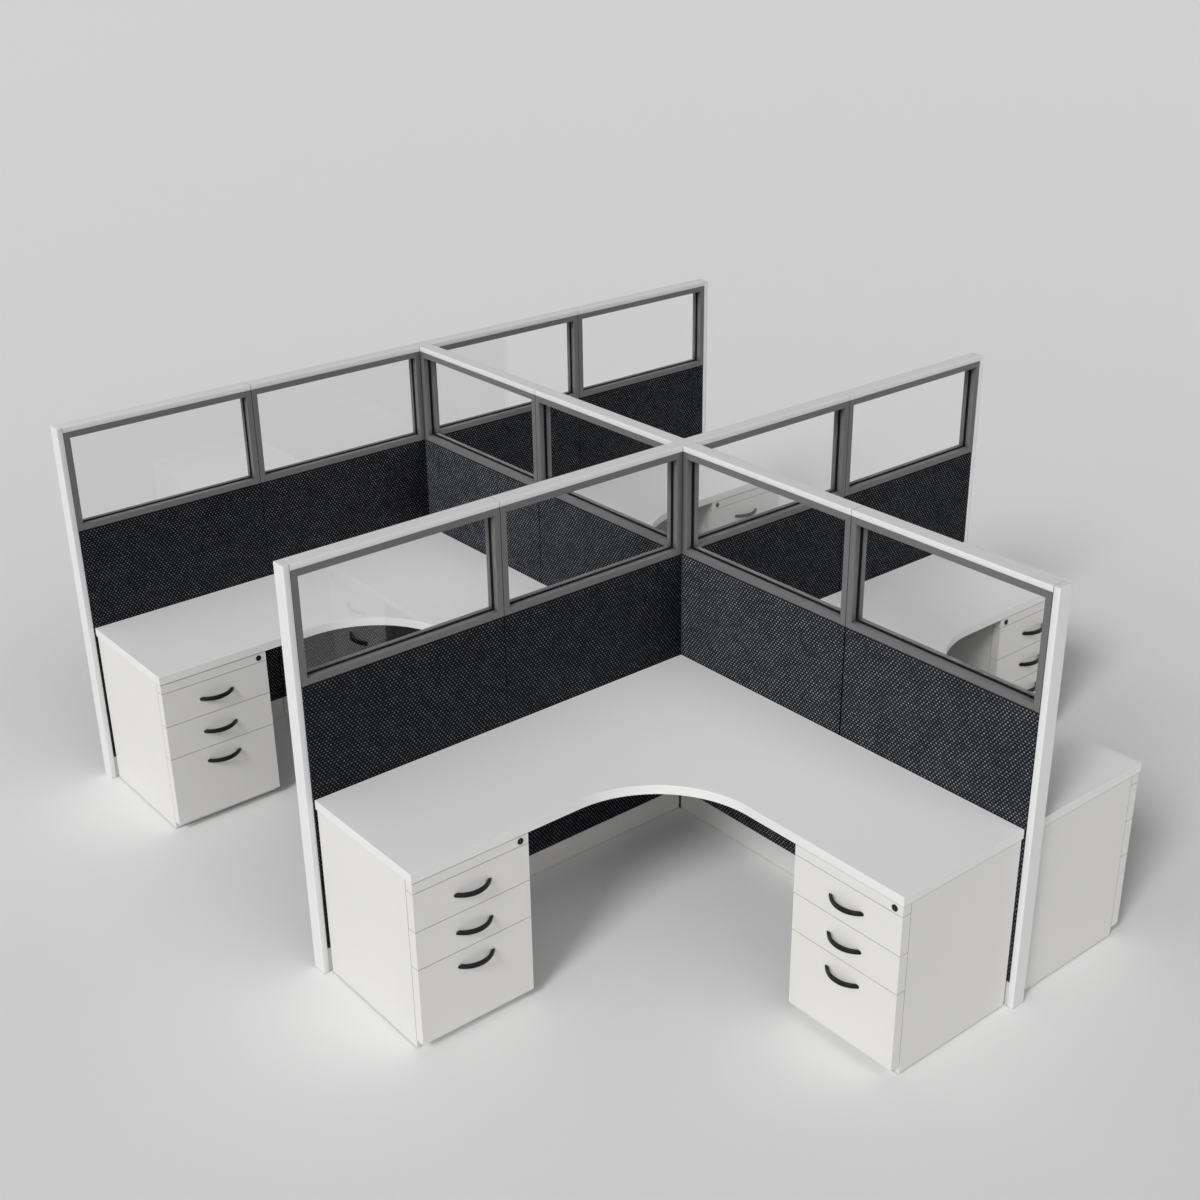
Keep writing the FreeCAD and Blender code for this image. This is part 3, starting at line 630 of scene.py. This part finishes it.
handleSizes = {"Span": 0.155, "Projection": 0.0345, "Thickness": 0.0085, "Foot": 0.0165,
               "Middle Height": 0.019, "End Height": 0.012, "Rounding": 0.0026, "End Rounding": 0.0045}
handleSteps = {"along": 64, "corner": 4, "overshoot": 1.1}  # the strip runs on behind the front, and is cut


def arcThrough(tree, half, peak):
    # radius and centre height of the arc over a chord of two halves with its peak at the middle
    squares = plus(tree, squared(tree, half), squared(tree, peak))
    radius = ratio(tree, squares, times(tree, peak, 2.0))
    return radius, minus(tree, peak, radius)


def handleStrip(tree, given):
    line = addNode(tree, "GeometryNodeCurvePrimitiveLine",
                   {"Start": (-1.0, 0.0, 0.0), "End": (1.0, 0.0, 0.0)})
    divided = addNode(tree, "GeometryNodeResampleCurve",
                      {"Curve": line.outputs[0], "Count": handleSteps["along"]}, mode="COUNT")
    level = addNode(tree, "GeometryNodeSetCurveNormal", {"Curve": divided.outputs[0]}, mode="Z_UP")
    strip = addNode(tree, "GeometryNodeCurvePrimitiveQuadrilateral",
                    {"Width": given["Thickness"], "Height": given["Middle Height"]})
    rounded = addNode(tree, "GeometryNodeFilletCurve", {
        "Curve": strip.outputs[0], "Count": handleSteps["corner"], "Limit Radius": True,
        "Radius": given["Rounding"]}, mode="POLY")
    swept = addNode(tree, "GeometryNodeCurveToMesh", {
        "Curve": level.outputs[0], "Profile Curve": rounded.outputs[0], "Fill Caps": True})
    return swept.outputs[0]


def handleTree(material):
    # a rounded strip bent into a crescent in plan, highest at its middle, and cut flat at the front, y = 0
    tree, given, result = geometryTree("bowHandle", handleSizes)
    half = times(tree, given["Span"], 0.5)
    outer, outerCentre = arcThrough(tree, half, given["Projection"])
    inner, innerCentre = arcThrough(tree, minus(tree, half, given["Foot"]),
                                    minus(tree, given["Projection"], given["Thickness"]))
    apart = minus(tree, innerCentre, outerCentre)

    place = partsOf(tree, addNode(tree, "GeometryNodeInputPosition").outputs[0])
    past = times(tree, math1(tree, "ARCSINE", ratio(tree, half, outer)), handleSteps["overshoot"])
    angle = times(tree, place["X"], past)
    sine, cosine = math1(tree, "SINE", angle), math1(tree, "COSINE", angle)
    sideways = times(tree, apart, sine)
    reach = math1(tree, "SQRT", minus(tree, squared(tree, inner), squared(tree, sideways)))
    nearArc = plus(tree, times(tree, apart, cosine), reach)
    share = plus(tree, ratio(tree, place["Y"], given["Thickness"]), 0.5)
    away = plus(tree, nearArc, times(tree, share, minus(tree, outer, nearArc)))
    along = times(tree, away, sine)
    out = plus(tree, outerCentre, times(tree, away, cosine))

    fromMiddle = math1(tree, "ABSOLUTE", along)
    taper = minus(tree, given["Middle Height"], given["End Height"])
    fall = times(tree, taper, squared(tree, ratio(tree, fromMiddle, half)))
    corner = given["End Rounding"]
    over = math1(tree, "MAXIMUM", minus(tree, fromMiddle, minus(tree, half, corner)), 0.0)
    over = math1(tree, "MINIMUM", over, corner)
    drop = minus(tree, corner, math1(tree, "SQRT", minus(tree, squared(tree, corner), squared(tree, over))))
    tall = minus(tree, minus(tree, given["Middle Height"], fall), times(tree, drop, 2.0))
    up = times(tree, place["Z"], ratio(tree, tall, given["Middle Height"]))
    bent = addNode(tree, "GeometryNodeSetPosition", {
        "Geometry": handleStrip(tree, given), "Position": vector3(tree, along, out, up)})

    wide = times(tree, given["Span"], 2.0)
    block = addNode(tree, "GeometryNodeMeshCube", {
        "Size": vector3(tree, wide, given["Projection"], given["Projection"])})
    behind = addNode(tree, "GeometryNodeTransform", {
        "Geometry": block.outputs["Mesh"],
        "Translation": vector3(tree, 0.0, times(tree, given["Projection"], -0.5))})
    cut = addNode(tree, "GeometryNodeMeshBoolean", {"Mesh 1": bent.outputs[0], "Mesh 2": behind.outputs[0]},
                  operation="DIFFERENCE")
    endTree(tree, cut.outputs[0], material, result)
    return tree


def placeMesh(mesh, matrix):
    placed = mesh.copy()
    placed.transform(matrix)
    return placed


def outwardTurn(axis):
    # turns +Y, which the small pieces point along, to a drawer's outward direction
    return Matrix.Rotation(math.atan2(-axis.x, axis.y), 4, "Z")


# Drawers

drawerHeights = {"screw": (0.004, 0.009), "handle": (0.010, 0.020), "runner": (0.025, 0.045)}
drawers = sorted(node for node in nodes if node.endswith("_drawer"))
bowHandle = growMesh(handleTree(blackCoat), handleSizes, pointCloud([]))
for drawer in drawers:
    body = nodeBody[drawer]
    axis = slideAxis[body]
    groups = sortedByHeight(solidsOf(drawer), drawerHeights)
    softPiece(drawer + "_box", groups["rest"], coatedSteel, body, "white_coated_steel", [drawer],
              softness=0.0008)
    softPiece(drawer + "_fittings", groups["runner"] + groups["screw"], zincPlate, body, "zinc_steel",
              [drawer], softness=0.0003)
    strip = groups["handle"][0]
    seat = middleOf(strip) - axis * halfAlong(strip, axis)
    grip = placeMesh(bowHandle, Matrix.Translation(seat) @ outwardTurn(axis))
    makePiece(drawer + "_handle", grip, blackCoat, body, "black_lock", drawer)
print("drawers:", len(drawers))


# Pedestals and their locks

pedestalHeights = {"housing": (0.020, 0.026), "channel": (0.034, 0.038)}
pedestals = sorted(node for node in nodes if node.endswith("_pedestal"))
for pedestal in pedestals:
    body = nodeBody[pedestal]
    groups = sortedByHeight(solidsOf(pedestal), pedestalHeights)
    softPiece(pedestal + "_casing", groups["rest"], coatedSteel, body, "white_coated_steel", [pedestal],
              softness=0.0008)
    softPiece(pedestal + "_channels", groups["channel"], zincPlate, body, "zinc_steel", [pedestal],
              softness=0)
    softPiece(pedestal + "_lock_housing", groups["housing"], blackCoat, body, "black_lock", [pedestal],
              softness=0.0005, shortest=0)
keySlotSizes = {"width": 0.0011, "length": 0.0080, "thickness": 0.0012, "below": 0.0009, "edge": 0.00025}


def keySlotPlate(plug, outward):
    # the bare metal seen in the key slot, a little below the plug's face
    size = keySlotSizes
    across = Vector((abs(outward.y), abs(outward.x), 0))
    face = middleOf(plug) + outward * (halfAlong(plug, outward) - size["below"])
    shape = bmesh.new()
    bmesh.ops.create_cube(shape, size=1.0)
    for corner in shape.verts:
        corner.co = (across * corner.co.x * size["width"] + outward * (corner.co.y - 0.5) * size["thickness"]
                     + Vector((0, 0, corner.co.z * size["length"])) + face)
    bmesh.ops.bevel(shape, geom=shape.edges[:], offset=size["edge"], **bevelStyle)
    bmesh.ops.recalc_face_normals(shape, faces=shape.faces)
    return meshFrom(shape, "keySlot")


locks = sorted(node for node in nodes if node.endswith("_lock"))
for lock in locks:
    solids, body = solidsOf(lock), nodeBody[lock]
    softPiece(lock + "_cylinder", solids, blackCoat, body, "black_lock", [lock], softness=0.0003, shortest=0)
    outward = slideAxis[nodeBody[lock.replace("_lock", "_top_drawer")]]
    plate = keySlotPlate(max(solids, key=heightOf), outward)
    makePiece(lock + "_slot_plate", plate, zincPlate, body, "zinc_steel", lock)
print("pedestals:", len(pedestals), "locks:", len(locks))


# Desktops

levelNormal = 0.999


def markEdgeBand(mesh):
    # all but the level faces belongs to the edge band
    band = mesh.attributes.new("edgeBand", "FLOAT", "FACE")
    for polygon in mesh.polygons:
        band.data[polygon.index].value = 0.0 if abs(polygon.normal.z) > levelNormal else 1.0


desktops = sorted(node for node in nodes if node.endswith("_desktop"))
for desktop in desktops:
    board = softPiece(desktop + "_board", solidsOf(desktop), whiteLaminate, mainBody, "white_laminate",
                      [desktop], softness=0)
    markEdgeBand(board.data)
print("desktops:", len(desktops))


# Screens

barSoftness = 0.0006
skirtingSoftness = 0.0007
screenPieces = [
    ("stile_bars", "window_stiles", stileMetal, "grey_window_frame", barSoftness),
    ("rail_bars", "window_rails", railMetal, "grey_window_frame", barSoftness),
    ("cap_channels", "top_caps", coatedAluminium, "white_coated_steel", 0),
    ("end_post_tubes", "end_posts", coatedAluminium, "white_coated_steel", 0),
    ("skirting_strips", "skirtings", coatedSteel, "white_coated_steel", skirtingSoftness),
]
tileNodes = sorted(node for node in nodes if node.endswith("_fabric_tiles"))
for tiles in tileNodes:
    softPiece(tiles + "_wrapped", solidsOf(tiles), panelCloth, mainBody, "charcoal_weave", [tiles],
              softness=0)
for name, node, material, slot, softness in screenPieces:
    softPiece(name, solidsOf(node), material, mainBody, slot, [node], softness=softness)
print("screens:", len(tileNodes), "tile nodes")


# Glazing gaskets: one U-shaped strip round each pane, swept along the pane's rectangle

gasketSizes = {"lip": 0.003, "bite": 0.007, "depth": 0.010, "halfThickness": 0.0075, "halfGlass": 0.003,
               "crown": 0.0006, "crownFall": 0.3}
paneSizes = {"Width": 0.8, "Height": 0.3}  # each ring sets its own


def gasketTree(material):
    tree, given, result = geometryTree("gasketRing", paneSizes)
    profile = addNode(tree, "GeometryNodeMeshToCurve", {0: given["Geometry"]}).outputs["Curve"]
    path = addNode(tree, "GeometryNodeCurvePrimitiveQuadrilateral",
                   {"Width": given["Width"], "Height": given["Height"]}).outputs[0]
    ring = addNode(tree, "GeometryNodeCurveToMesh", {"Curve": path, "Profile Curve": profile})
    endTree(tree, ring.outputs[0], material, result)
    return tree


def gasketProfile():
    # cross-section beside the path, drawn outwards from the middle of the window; a mitre stretches it
    size = gasketSizes
    half, glass, crown = size["halfThickness"], size["halfGlass"], size["crown"]
    upper = [(size["bite"], glass), (-size["lip"], glass),
             (-size["lip"] + crown, half - crown * size["crownFall"]), (crown - size["lip"] * 0.5, half),
             (size["depth"], half)]
    lower = [(out, -across) for out, across in reversed(upper)]
    return [(out * math.sqrt(2), across, 0.0) for out, across in upper + lower]


def closedLoop(points):
    mesh = bpy.data.meshes.new("profile")
    mesh.from_pydata(points, [(index, (index + 1) % len(points)) for index in range(len(points))], [])
    return mesh


gasketRing = gasketTree(gasketRubber)
gasketShape = bmesh.new()
upright = Matrix.Rotation(math.pi / 2, 4, "X")
for solid in solidsOf("glazing_gaskets"):
    size = solid["high"] - solid["low"]
    wide, tall = (length - 2 * gasketSizes["depth"] for length in (max(size.x, size.y), size.z))
    ring = growMesh(gasketRing, {"Width": wide, "Height": tall}, closedLoop(gasketProfile()))
    turn = Matrix.Identity(4) if size.x > size.y else Matrix.Rotation(math.pi / 2, 4, "Z")
    ring.transform(Matrix.Translation(middleOf(solid)) @ turn @ upright)
    gasketShape.from_mesh(ring)
bmesh.ops.recalc_face_normals(gasketShape, faces=gasketShape.faces)
gasketMesh = meshFrom(gasketShape, "glazing_strips")
makePiece("glazing_strips", gasketMesh, gasketRubber, mainBody, "black_gasket", "glazing_gaskets")
print("gaskets swept")


# Feet, glides and screws: a stack of turned shapes set on points

footSizes = {"Pad Radius": 0.015, "Pad Height": 0.008, "Nut Radius": 0.009, "Nut Height": 0.006,
             "Stem Radius": 0.005, "Stem Height": 0.055}
footHeights = {"plate": (0.004, 0.006)}
footForm = {"lipShare": 0.86, "wallShare": 0.6, "padSides": 24, "nutSides": 6, "stemSides": 12}
glideSizes = {"Radius": 0.014, "Height": 0.005, "Chamfer": 0.0015}
glideSides = 20
screwSizes = {"Head Radius": 0.0045, "Head Height": 0.0025, "Shank Radius": 0.002, "Length": 0.026}
lengthDigits = 4  # screws are told apart by tenths of a millimetre
screwForm = {"domeShare": 0.7, "crownShare": 0.4, "tipShare": 2.0, "headSides": 12, "shankSides": 8}


def turnedStack(tree, rings):
    # closed frustums on each other; a ring holds its bottom radius, top radius, height, base and sides
    stack = addNode(tree, "GeometryNodeJoinGeometry")
    for low, high, tall, base, sides in rings:
        cone = addNode(tree, "GeometryNodeMeshCone", {
            "Vertices": sides, "Radius Bottom": low, "Radius Top": high, "Depth": tall})
        raised = addNode(tree, "GeometryNodeTransform", {
            "Geometry": cone.outputs["Mesh"], "Translation": vector3(tree, z=base)})
        tree.links.new(raised.outputs[0], stack.inputs[0])
    return stack.outputs[0]


def setOnPoints(tree, given, result, rings, material):
    spots = addNode(tree, "GeometryNodeMeshToPoints", {0: given["Geometry"]})
    copies = addNode(tree, "GeometryNodeInstanceOnPoints", {
        "Points": spots.outputs[0], "Instance": turnedStack(tree, rings)})
    endTree(tree, copies.outputs[0], material, result)
    return tree


def footTree(material):
    tree, given, result = geometryTree("levellingFoot", footSizes)
    form, pad, nut, stem = footForm, given["Pad Radius"], given["Nut Radius"], given["Stem Radius"]
    lip = times(tree, pad, form["lipShare"])
    low = times(tree, given["Pad Height"], form["wallShare"])
    high = minus(tree, given["Pad Height"], low)
    nutTop = plus(tree, given["Pad Height"], given["Nut Height"])
    rings = [(pad, pad, low, 0.0, form["padSides"]), (pad, lip, high, low, form["padSides"]),
             (nut, nut, given["Nut Height"], given["Pad Height"], form["nutSides"]),
             (stem, stem, minus(tree, given["Stem Height"], nutTop), nutTop, form["stemSides"])]
    return setOnPoints(tree, given, result, rings, material)


def glideTree(material):
    tree, given, result = geometryTree("pedestalGlide", glideSizes)
    radius, chamfer = given["Radius"], given["Chamfer"]
    rings = [(minus(tree, radius, chamfer), radius, chamfer, 0.0, glideSides),
             (radius, radius, minus(tree, given["Height"], chamfer), chamfer, glideSides)]
    return setOnPoints(tree, given, result, rings, material)


def screwTree(material):
    tree, given, result = geometryTree("woodScrew", screwSizes)
    form, head, shank = screwForm, given["Head Radius"], given["Shank Radius"]
    crown = times(tree, given["Head Height"], form["crownShare"])
    flat = minus(tree, given["Head Height"], crown)
    tip = times(tree, shank, form["tipShare"])
    straight = minus(tree, minus(tree, given["Length"], given["Head Height"]), tip)
    rings = [(times(tree, head, form["domeShare"]), head, crown, 0.0, form["headSides"]),
             (head, head, flat, crown, form["headSides"]),
             (shank, shank, straight, given["Head Height"], form["shankSides"]),
             (shank, 0.0, tip, minus(tree, given["Length"], tip), form["shankSides"])]
    return setOnPoints(tree, given, result, rings, material)


def footOf(solid):
    middle = middleOf(solid)
    return (middle.x, middle.y, solid["low"].z)


def onPoints(name, tree, sizes, spots, material, slot, replaced):
    mesh = growMesh(tree, sizes, pointCloud(spots))
    return makePiece(name, mesh, material, mainBody, slot, replaced)


feet = sortedByHeight(solidsOf("levelling_feet"), footHeights)
onPoints("levelling_feet_turned", footTree(zincPlate), footSizes, [footOf(foot) for foot in feet["rest"]],
         zincPlate, "zinc_steel", "levelling_feet")
softPiece("levelling_feet_plates", feet["plate"], zincPlate, mainBody, "zinc_steel", ["levelling_feet"],
          softness=0.0004)
onPoints("pedestal_glides_moulded", glideTree(glidePlastic), glideSizes,
         [footOf(glide) for glide in solidsOf("pedestal_glides")], glidePlastic, "black_glide",
         "pedestal_glides")
woodScrew = screwTree(zincPlate)
screwGroups = {}
for screw in solidsOf("screws"):
    screwGroups.setdefault(round(heightOf(screw), lengthDigits), []).append(footOf(screw))
for index, (length, spots) in enumerate(sorted(screwGroups.items())):
    onPoints("wood_screws_" + str(index + 1), woodScrew, dict(screwSizes, Length=length), spots, zincPlate,
             "zinc_steel", "screws")
print("feet:", len(feet["rest"]), "screw lengths:", len(screwGroups))

carried = {"glass_panes": windowGlass, "panel_frames": darkSteel, "junction_posts": stileMetal,
           "desk_brackets": coatedSteel}
for node, material in carried.items():
    for slot in nodes[node].material_slots:
        slot.material = material


# Floor, light and camera

stageLook = {"floorSize": 160.0, "shownColor": (0.624, 0.624, 0.624), "worldLight": 0.02,
             "floorRough": 0.9, "floorSpecular": 0.1, "sunDistance": 5.0,
             # share of the reach from the part, and the floor's lightness there
             "floorReach": 26.0,
             "floorTones": ((0.1, 0.80), (0.155, 0.848), (0.3, 0.864), (0.46, 0.875), (1.0, 0.889))}
lamps = {  # azimuth 0 is from -Y, 90 from +X
    "windowSun": {"azimuth": 20.5, "elevation": 38.0, "spread": 16.0, "strength": 1.64},
    "cameraSun": {"azimuth": 45.0, "elevation": 35.0, "spread": 45.0, "strength": 0.28},
    "lowSun": {"azimuth": 45.0, "elevation": 12.0, "spread": 45.0, "strength": 0.48},
    "spineSun": {"azimuth": 90.0, "elevation": 35.0, "spread": 45.0, "strength": 0.70},
    "crossSun": {"azimuth": 0.0, "elevation": 12.0, "spread": 45.0, "strength": 0.72},
    "rearSun": {"azimuth": -90.0, "elevation": 12.0, "spread": 45.0, "strength": 0.60},
    "rearHighSun": {"azimuth": -45.0, "elevation": 35.0, "spread": 45.0, "strength": 0.32},
}


def makeStage():
    half = stageLook["floorSize"] / 2
    mesh = bpy.data.meshes.new("studioFloor")
    mesh.from_pydata([(-half, -half, 0), (half, -half, 0), (half, half, 0), (-half, half, 0)], [],
                     [(0, 1, 2, 3)])
    material, tree, shader = newMaterial("studioFloor")
    away = addNode(tree, "ShaderNodeVectorMath", {0: objectPlace(tree)}, operation="LENGTH").outputs["Value"]
    tones = addNode(tree, "ShaderNodeValToRGB", {"Fac": ratio(tree, away, stageLook["floorReach"])})
    steps = tones.color_ramp.elements
    while len(steps) < len(stageLook["floorTones"]):
        steps.new(0.5)
    for step, (share, tone) in zip(steps, stageLook["floorTones"]):
        step.position = share
        step.color = (tone, tone, tone, 1)
    feed(tree, shader, {"Base Color": tones.outputs["Color"], "Roughness": stageLook["floorRough"],
                        "Specular IOR Level": stageLook["floorSpecular"]})
    mesh.materials.append(material)
    floor = bpy.data.objects.new("studioFloor", mesh)
    bpy.context.scene.collection.objects.link(floor)


def makeWorld():
    world = bpy.data.worlds.new("studio")
    world.use_nodes = True
    tree = world.node_tree
    tree.nodes.clear()
    light = addNode(tree, "ShaderNodeBackground",
                    {"Color": (1, 1, 1, 1), "Strength": stageLook["worldLight"]})
    shown = addNode(tree, "ShaderNodeBackground", {"Color": (*stageLook["shownColor"], 1), "Strength": 1.0})
    ray = addNode(tree, "ShaderNodeLightPath").outputs
    bent = math1(tree, "MAXIMUM", ray["Is Glossy Ray"], ray["Is Transmission Ray"])
    direct = math1(tree, "MAXIMUM", ray["Is Camera Ray"], bent)
    mixed = addNode(tree, "ShaderNodeMixShader", {0: direct, 1: light.outputs[0], 2: shown.outputs[0]})
    addNode(tree, "ShaderNodeOutputWorld", {"Surface": mixed.outputs[0]})
    bpy.context.scene.world = world


def toward(azimuth, elevation):
    # the direction to a place at this azimuth and elevation
    return Vector((math.sin(azimuth) * math.cos(elevation), -math.cos(azimuth) * math.cos(elevation),
                   math.sin(elevation)))


def makeSun(name, lamp):
    # azimuth and elevation say where the light comes from
    source = toward(math.radians(lamp["azimuth"]), math.radians(lamp["elevation"]))
    data = bpy.data.lights.new(name, "SUN")
    data.energy = lamp["strength"]
    data.angle = math.radians(lamp["spread"])
    sun = bpy.data.objects.new(name, data)
    sun.rotation_mode = "QUATERNION"
    sun.rotation_quaternion = source.to_track_quat("Z", "Y")
    sun.location = source * stageLook["sunDistance"]
    bpy.context.scene.collection.objects.link(sun)


cameraView = {"place": (4.510, -4.067, 3.770), "azimuth": 50.883, "elevation": 24.983, "roll": -0.815,
              "lens": 49.8, "sensor": 36.0, "nearest": 0.05, "farthest": 500.0}


def makeCamera():
    azimuth, elevation, roll = (math.radians(cameraView[key]) for key in ("azimuth", "elevation", "roll"))
    ahead = -toward(azimuth, elevation)
    right = Vector((math.cos(azimuth), math.sin(azimuth), 0))
    up = right.cross(ahead)
    tiltedRight = right * math.cos(roll) + up * math.sin(roll)
    tiltedUp = up * math.cos(roll) - right * math.sin(roll)
    data = bpy.data.cameras.new("photoCamera")
    data.lens = cameraView["lens"]
    data.sensor_width = cameraView["sensor"]
    data.clip_start = cameraView["nearest"]
    data.clip_end = cameraView["farthest"]
    camera = bpy.data.objects.new("photoCamera", data)
    turn = Matrix((tiltedRight, tiltedUp, -ahead)).transposed().to_4x4()
    camera.matrix_world = Matrix.Translation(cameraView["place"]) @ turn
    bpy.context.scene.collection.objects.link(camera)
    bpy.context.scene.camera = camera


makeStage()
makeWorld()
for lampName, lamp in lamps.items():
    makeSun(lampName, lamp)
makeCamera()
bpy.context.scene.view_settings.view_transform = "Standard"
print("stage, light and camera set")
